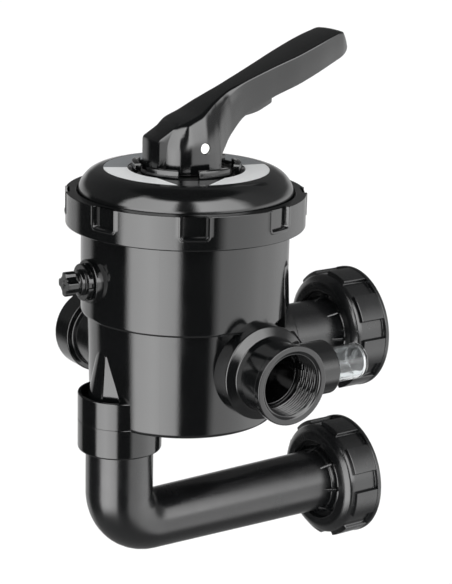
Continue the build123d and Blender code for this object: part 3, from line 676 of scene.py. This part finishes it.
plugPath = rounded([(0, 73), (6.4, 73), (6.4, 80.5), (13.4, 80.5), (13.4, 84.6), (9.5, 84.6), (9.3, 87.6),
                    (6.9, 87.8), (6.9, 90), (8.8, 90), (8.8, 98), (3.2, 98), (2.8, 97.2), (0, 97.2)],
                   [0, 0.5, 0.3, 0.5, 0.6, 0.3, 0.6, 0.3, 0.3, 0.4, 0.7, 0.3, 0.3, 0], closed=False)
plugAngles = ringAngles(180, np.concatenate([45.0 * k + np.array([-7.4, 7.4]) for k in range(8)]), 0.8)
plugSurface = turned(denser(plugPath, 0.4), plugSpot, plugAngles, plugRelief)
bleedPlug = makePiece("bleedPlugKnob", [(plugSurface, False)], absMoulded)
settle(bleedPlug, "bleed_plug", "plug")

# sight glass: thin clear cup
glassSpot = spotOf((bodyShape["glassX"], layout["stemY"], bodyShape["glassZ"]), (0, 1, 0), (1, 0, 0))
cupPath = rounded([(8.6, 48), (11, 48), (11, 56.8), (13, 59.2), (13, 88.6), (11, 90.7), (0, 90.9), (0, 88.9),
                   (9.6, 88.7), (11.2, 86.4), (11.2, 60), (8.6, 57)],
                  [0.3, 0.4, 0.6, 0.6, 1.6, 1.6, 0, 0, 1.4, 1.4, 0.6, 0.6])
sightGlass = makePiece("sightGlassCup", [(turned(cupPath, glassSpot), True)], polycarbonate)
settle(sightGlass, "sight_glass", "glass")
print("stage: plug and sight glass made")

# unions: tail, elbow pipe and the two nuts
unionShape = {"ribCount": 8, "nutR": 44.2, "lugR": 47.1, "rimR": 47.5, "lugHalf": 13.0, "lugTurn": 10.0,
              "nutNear": -10.4, "nutFar": 20.6, "holeR": 31.6, "threadMinor": 42.2, "threadDepth": 1.1}


def flangeRibs(spot, inner):
    # thin triangular ribs behind the flange
    grids = []
    for k in range(unionShape["ribCount"]):
        turn = math.radians(45 * k)
        side = spot[1][0] * math.cos(turn) + spot[1][1] * math.sin(turn)
        axis = np.cross(side, spot[1][2])
        ribSpot = (spot[0], np.array([side, spot[1][2], axis]))
        rib = rounded([(inner, -20), (29.3, -6.5), (29.3, -5), (inner, -5)], 0.3, steps=3)
        grids.append((slab(rib, rib, -1.1, 1.1, ribSpot, 0.3), False))
    return grids


tailPath = rounded([(21.5, -66.8), (25, -66.8), (25, -10), (26.5, -6), (39, -6), (39, 0), (38, 0), (38, -2.2),
                    (34, -2.2), (34, 0), (21.5, 0)], [0.4, 0.5, 2.5, 2.0, 0.5, 0.4, 0.2, 0.2, 0.2, 0.3, 0.5])
tailGrids = [(turned(tailPath, upperUnion), True)] + flangeRibs(upperUnion, 24.2)
unionTail = makePiece("unionTailTube", tailGrids, pvcMoulded)
settle(unionTail, "union_tail", "housing")

elbowShape = {"legTop": -27.5, "legR": 25.0, "pipeR": 22.5, "pipeEndR": 24.3, "wall": 3.4, "bendR": 27.5}


def elbowRoute(along):
    # leg, quarter bend and pipe as one line: centre, section normal and outer radius at a distance along it
    s = elbowShape
    bendZ = -layout["unionDrop"] + s["bendR"]
    bendY = layout["legY"] + s["bendR"]
    legLong = s["legTop"] - bendZ
    arcLong = s["bendR"] * math.pi / 2
    turn = np.clip((along - legLong) / s["bendR"], 0, math.pi / 2)
    beyond = np.maximum(along - legLong - arcLong, 0)
    down = np.minimum(along, legLong)
    y = bendY - s["bendR"] * np.cos(turn) + beyond
    z = s["legTop"] - down - s["bendR"] * np.sin(turn)
    radius = np.where(beyond > 0, s["pipeR"] + (s["pipeEndR"] - s["pipeR"]) * beyond / -(bendY + 6),
                      s["legR"] - (s["legR"] - s["pipeR"]) * turn / (math.pi / 2))
    outward = np.stack([turn * 0, -np.cos(turn), -np.sin(turn)], -1)
    return np.stack([turn * 0, y, z], -1), outward, radius, legLong + arcLong - bendY


def elbowGrids():
    s = elbowShape
    total = elbowRoute(np.zeros(1))[3] - 2
    along = np.unique(np.concatenate([[0, 0.3], np.arange(2, 66, 3), np.arange(42, 94, 1.6),
                                      np.arange(96, total, 4), [total]]))
    centre, outward, radius, _ = elbowRoute(along)
    turn = np.radians(ringAngles(112))
    sideways = np.array([1.0, 0, 0])

    def wallAt(reach):
        return centre[:, None, :] + reach[:, None, None] * (np.cos(turn)[None, :, None] * outward[:, None, :]
                                                            + np.sin(turn)[None, :, None] * sideways)

    mark = -0.12 * np.exp(-((along - 24) / 0.5) ** 2)  # faint ring where the leg was turned down for its socket
    eased = np.where(along < 0.2, -0.3, 0)
    outer = wallAt(radius + mark + eased)
    inner = wallAt(radius - s["wall"])
    tube = np.concatenate([outer, inner[::-1]])
    flange = rounded([(20.6, -12), (24.3, -12), (26.5, -6), (39, -6), (39, 0), (38, 0), (38, -2.2),
                      (34, -2.2), (34, 0), (20.6, 0)], [0.3, 1.5, 2.0, 0.5, 0.4, 0.2, 0.2, 0.2, 0.3, 0.5])
    return [(tube, True), (turned(flange, lowerUnion), True)] + flangeRibs(lowerUnion, 23.4)


elbow = makePiece("elbowPipeTube", elbowGrids(), pvcMoulded)
settle(elbow, "elbow_pipe", "housing")


def nutRelief(angle, height, radius):
    # eight raised pads between the shoulder and the rim, and a helical thread inside
    s = unionShape
    lug = band((angle - s["lugTurn"] + 22.5) % 45 - 22.5, -s["lugHalf"], s["lugHalf"], 0.8)
    pad = (s["lugR"] - s["nutR"]) * lug * band(height, -3.4, 30, 0.6) * (np.abs(radius - s["nutR"]) < 0.05)
    wave = 1 - np.abs(((height / 2.309 - angle / 360) % 1) * 2 - 1)
    onThread = (np.abs(radius - s["threadMinor"]) < 0.02) * band(height, 4.2, 18.5, 0.8)
    return pad + s["threadDepth"] * wave * onThread


def nutGrids(spot):
    s = unionShape
    path = rounded([(s["holeR"], s["nutNear"]), (38.6, s["nutNear"]), (s["nutR"], -6.6), (s["nutR"], 17.1),
                    (s["rimR"], 17.4), (s["rimR"], s["nutFar"]), (s["threadMinor"] + 0.8, s["nutFar"]),
                    (s["threadMinor"], 19.6), (s["threadMinor"], 2), (39.6, 0.6), (39.6, -6.4),
                    (s["holeR"], -6.4)],
                   [0.5, 2.6, 3.4, 0.4, 0.5, 1.0, 0.3, 0.2, 0.4, 0.4, 0.4, 0.5])
    closedPath = np.concatenate([path, path[:1]])
    edges = np.concatenate([s["lugTurn"] + 45 * k + np.array([-13.4, 13.4]) for k in range(8)])
    angles = ringAngles(144, edges, 0.8)
    return [(turned(denser(closedPath, 0.6)[:-1], spot, angles, nutRelief), True)]


for pieceName, node, bodyName, spot in (("unionNutUpperShell", "union_nut_upper", "nut_upper", upperUnion),
                                        ("unionNutLowerShell", "union_nut_lower", "nut_lower", lowerUnion)):
    nut = makePiece(pieceName, nutGrids(spot), pvcMoulded)
    settle(nut, node, bodyName)
print("stage: unions made")

# spring around the stem, built at one length; the real one shortens from its lower end as the rotor rises
springShape = {"coilR": 22.0, "wireR": 2.3, "pitch": 9.2, "low": 77.8, "high": 116.4, "seat": 118.7,
               "travel": 4.0}


def springGrid():
    # a wire carried along a helix (r cos a, r sin a, pitch a / 360), both ends drawn in to their middles
    s = springShape
    turns = (s["high"] - s["low"]) / s["pitch"]
    turn = np.linspace(0, turns * 2 * math.pi, int(turns * 56))
    outward = np.stack([np.cos(turn), np.sin(turn), turn * 0], -1)
    centre = outward * s["coilR"]
    centre[:, 2] = s["low"] + turn / (2 * math.pi) * s["pitch"]
    along = np.gradient(centre, axis=0)
    along /= np.linalg.norm(along, axis=1, keepdims=True)
    sideways = np.cross(along, outward)
    wire = np.linspace(0, 2 * math.pi, 20, endpoint=False)
    tube = centre[:, None] + s["wireR"] * (np.cos(wire)[None, :, None] * outward[:, None]
                                           + np.sin(wire)[None, :, None] * sideways[:, None])
    first, last = centre[:1, None] + tube[:1] * 0, centre[-1:, None] + tube[-1:] * 0
    return placed(np.concatenate([first, tube, last]), stemSpot)


rotorSpring = makePiece("rotorSpringDrawn", [(springGrid(), False)], springDrawn)
settle(rotorSpring, "rotor_spring", "turning_group")
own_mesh(rotorSpring)

# CAD parts that keep their own shape
keptFinishes = {"rotor": absMoulded, "spring_washer": stainlessTurned,
                "wear_washer": acetalTurned, "spider_gasket": nitrileRubber, "stem_ring_lower": nitrileRubber,
                "stem_ring_upper": nitrileRubber, "lid_ring": nitrileRubber, "bleed_plug_ring": nitrileRubber,
                "sight_glass_ring": nitrileRubber, "union_ring_upper": nitrileRubber,
                "union_ring_lower": nitrileRubber}
for name, finish in keptFinishes.items():
    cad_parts[name].data.materials.clear()
    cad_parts[name].data.materials.append(finish)

# camera
cameraLook = {"azimuth": 57.31, "distance": 1233.67, "height": 399.62, "focal": 1739.05,
              "yaw": -1.43, "pitch": 15.84, "roll": 1.45}
azimuth = math.radians(cameraLook["azimuth"])
yaw = azimuth + math.radians(cameraLook["yaw"])
pitch = math.radians(cameraLook["pitch"])
roll = math.radians(cameraLook["roll"])
back = np.array([math.sin(yaw) * math.cos(pitch), -math.cos(yaw) * math.cos(pitch), math.sin(pitch)])
right = np.array([math.cos(yaw), math.sin(yaw), 0.0])
up = np.cross(back, right)
camRight = right * math.cos(roll) + up * math.sin(roll)
camUp = up * math.cos(roll) - right * math.sin(roll)
cameraData = bpy.data.cameras.new("camera")
camera = bpy.data.objects.new("camera", cameraData)
bpy.context.scene.collection.objects.link(camera)
place = Matrix.Identity(4)
for row in range(3):
    place[row][0] = camRight[row]
    place[row][1] = camUp[row]
    place[row][2] = back[row]
place[0][3] = math.sin(azimuth) * cameraLook["distance"] / 1000
place[1][3] = (layout["stemY"] - math.cos(azimuth) * cameraLook["distance"]) / 1000
place[2][3] = cameraLook["height"] / 1000
camera.matrix_world = place
cameraData.sensor_width = 36
cameraData.sensor_fit = "AUTO"
cameraData.lens = 36 * cameraLook["focal"] / 584
bpy.context.scene.camera = camera

# pale floor well below the valve, kept out of its reflections
floorLook = {"size": 80, "drop": -1.2, "colour": "#fafafa", "roughness": 0.9}
bpy.ops.mesh.primitive_plane_add(size=floorLook["size"], location=(0, 0, floorLook["drop"]))
floor = bpy.context.object
floor.name = "floor"
floor.visible_glossy = False
floorPaint = bpy.data.materials.new("paleFloor")
floorPaint.use_nodes = True
floorShader = floorPaint.node_tree.nodes["Principled BSDF"]
floorShader.inputs["Base Color"].default_value = srgbToLinear(floorLook["colour"])
floorShader.inputs["Roughness"].default_value = floorLook["roughness"]
floor.data.materials.append(floorPaint)

# studio: even white light all round, and soft boxes that show in reflections
studioLook = {"facing": -32.69, "evenLight": 1.08,
              # angle from the front of the studio, then brightness, going round to the right
              # angle from the front of the studio, then brightness, going round to the right
              "boxes": ((-180, 0.7), (-128, 0.9), (-118, 0.03), (-68, 0.03), (-60, 5.6), (-36, 6.6), (-8, 5.2),
                        (-2, 0.03), (30, 0.04), (40, 2.0), (90, 2.5), (120, 1.7), (150, 0.7), (180, 0.5)),
              # the same for what stands above eye level: two boxes with a dark gap, and nothing behind
              "highBoxes": ((-180, 0.1), (-96, 0.15), (-76, 0.1), (-68, 5.2), (-14, 6.4), (-8, 0.1), (8, 0.1),
                            (16, 6.6), (62, 5.2), (78, 0.6), (120, 0.3), (180, 0.1)),
              "highStart": 0.1, "highFade": 0.1, "boxTop": 0.84, "boxFade": 0.05, "overhead": 0.03,
              "floorBounce": 0.3}
world = bpy.data.worlds.new("studio")
world.use_nodes = True
studio = world.node_tree
background = studio.nodes["Background"]
direction = addNode(studio, "ShaderNodeTexCoord")
axes = addNode(studio, "ShaderNodeSeparateXYZ", links=[("Vector", direction, "Generated")])
around = addNode(studio, "ShaderNodeMath", {"operation": "ARCTAN2"}, links=[(0, axes, "Y"), (1, axes, "X")])
fromFront = addNode(studio, "ShaderNodeMath", {"operation": "MULTIPLY_ADD"},
                    {1: 1 / (2 * math.pi), 2: 0.5 - studioLook["facing"] / 360}, [(0, around, "Value")])
share = addNode(studio, "ShaderNodeMath", {"operation": "FRACT"}, links=[(0, fromFront, "Value")])
brightest = max(level for _, level in studioLook["boxes"] + studioLook["highBoxes"])
ramps = []
for rowName in ("boxes", "highBoxes"):
    ramp = addNode(studio, "ShaderNodeValToRGB", links=[("Fac", share, "Value")])
    stops = ramp.color_ramp.elements
    for angle, level in studioLook[rowName]:
        at = (angle + 180) / 360
        stop = stops[0] if at == 0 else stops[len(stops) - 1] if at == 1 else stops.new(at)
        stop.color = (level / brightest, level / brightest, level / brightest, 1)
    ramps.append(ramp)
high = addNode(studio, "ShaderNodeMapRange", {"interpolation_type": "SMOOTHSTEP"},
               {"From Min": studioLook["highStart"] - studioLook["highFade"],
                "From Max": studioLook["highStart"] + studioLook["highFade"], "To Min": 0.0, "To Max": 1.0},
               [("Value", axes, "Z")])
boxes = addNode(studio, "ShaderNodeMix", {"data_type": "RGBA"},
                links=[(0, high, "Result"), (6, ramps[0], "Color"), (7, ramps[1], "Color")])
above = addNode(studio, "ShaderNodeMapRange", {"interpolation_type": "SMOOTHSTEP"},
                {"From Min": studioLook["boxTop"] - studioLook["boxFade"],
                 "From Max": studioLook["boxTop"] + studioLook["boxFade"], "To Min": 0.0, "To Max": 1.0},
                [("Value", axes, "Z")])
below = addNode(studio, "ShaderNodeMapRange", {"interpolation_type": "SMOOTHSTEP"},
                {"From Min": -0.75, "From Max": -0.5, "To Min": 1.0, "To Max": 0.0}, [("Value", axes, "Z")])
scaled = addNode(studio, "ShaderNodeVectorMath", {"operation": "SCALE"}, {"Scale": brightest}, [(0, boxes, 2)])
withTop = addNode(studio, "ShaderNodeMix", {"data_type": "RGBA", "clamp_factor": True},
                  {7: (studioLook["overhead"],) * 3 + (1,)}, [(0, above, "Result"), (6, scaled, "Vector")])
withFloor = addNode(studio, "ShaderNodeMix", {"data_type": "RGBA"},
                    {7: (studioLook["floorBounce"],) * 3 + (1,)}, [(0, below, "Result"), (6, withTop, 2)])
ray = addNode(studio, "ShaderNodeLightPath")
seen = addNode(studio, "ShaderNodeMix", {"data_type": "RGBA"}, {6: (studioLook["evenLight"],) * 3 + (1,)},
               [(0, ray, "Is Glossy Ray"), (7, withFloor, 2)])
studio.links.new(seen.outputs[2], background.inputs["Color"])
background.inputs["Strength"].default_value = 1.0
bpy.context.scene.world = world
bpy.context.scene.view_settings.view_transform = "Standard"
print("stage: camera, floor and light set")
